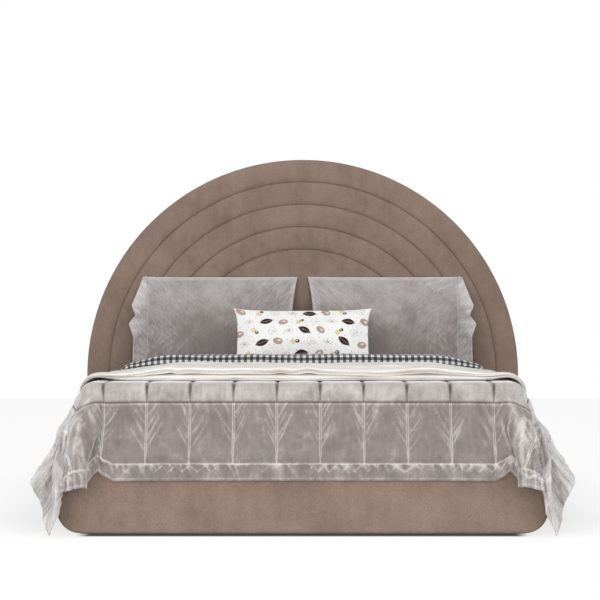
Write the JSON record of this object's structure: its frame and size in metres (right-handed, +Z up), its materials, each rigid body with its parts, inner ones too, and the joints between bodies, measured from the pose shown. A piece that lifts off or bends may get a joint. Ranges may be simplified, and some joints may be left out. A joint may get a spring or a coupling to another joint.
{
  "type": "bed",
  "caption": "Double bed with an arched channel-padded headboard, upholstered slatted base, mattress, quilt, blanket, pillows and cushion.",
  "frame": {"origin": "on the floor, at the middle of the glide under the middle centre leg", "axes": "+X to the right seen from the foot, +Y towards the headboard, +Z up"},
  "size_m": [2.166, 2.2818, 1.578],
  "materials": {
    "pine": "matte",
    "slat_birch": "satin",
    "plywood": "matte",
    "back_lining": "matte",
    "taupe_velour": "matte",
    "foam": "matte",
    "bracket_steel": "satin",
    "leg_steel": "satin",
    "zinc_steel": "satin",
    "holder_plastic": "matte",
    "glide_plastic": "matte",
    "ticking": "matte",
    "spring_core": "matte",
    "sheet_cotton": "matte",
    "quilt_velvet": "matte",
    "gingham": "matte",
    "cream_knit": "matte",
    "pillow_velvet": "matte",
    "lumbar_print": "matte"
  },
  "bodies": {
    "root": {"foot_board": "pine", "side_board_left": "pine", "side_board_right": "pine", "head_rail": "pine", "corner_post_front_left": "pine", "corner_post_front_right": "pine", "corner_post_rear_left": "pine", "corner_post_rear_right": "pine", "side_cleat_left": "pine", "side_cleat_right": "pine", "centre_beam": "pine", "mounting_board": "pine", "back_frame_rim": "pine", "back_frame_low_rail": "pine", "back_frame_middle_rail": "pine", "back_frame_upright_left": "pine", "back_frame_upright_right": "pine", "slats_left": "slat_birch", "slats_right": "slat_birch", "headboard_board": "plywood", "back_panel": "back_lining", "foot_cover": "taupe_velour", "side_cover_left": "taupe_velour", "side_cover_right": "taupe_velour", "headboard_cover": "taupe_velour", "foot_foam": "foam", "side_foam_left": "foam", "side_foam_right": "foam", "centre_panel_foam": "foam", "rim_foam": "foam", "channel_foam_1": "foam", "channel_foam_2": "foam", "channel_foam_3": "foam", "channel_foam_4": "foam", "beam_brackets": "bracket_steel", "centre_leg_front": "leg_steel", "centre_leg_middle": "leg_steel", "centre_leg_rear": "leg_steel", "post_bolts": "zinc_steel", "headboard_bolts": "zinc_steel", "headboard_tee_nuts": "zinc_steel", "slat_holders": "holder_plastic", "floor_glides": "glide_plastic", "leg_glides": "glide_plastic", "headboard_glides": "glide_plastic", "mattress_bottom_panel": "ticking", "mattress_border": "ticking", "mattress_top_panel": "ticking", "mattress_spring_core": "spring_core", "fitted_sheet": "sheet_cotton", "quilt": "quilt_velvet", "gingham_sheet": "gingham", "cream_blanket": "cream_knit", "pillow_left": "pillow_velvet", "pillow_right": "pillow_velvet", "lumbar_cushion": "lumbar_print"}
  },
  "joints": []
}
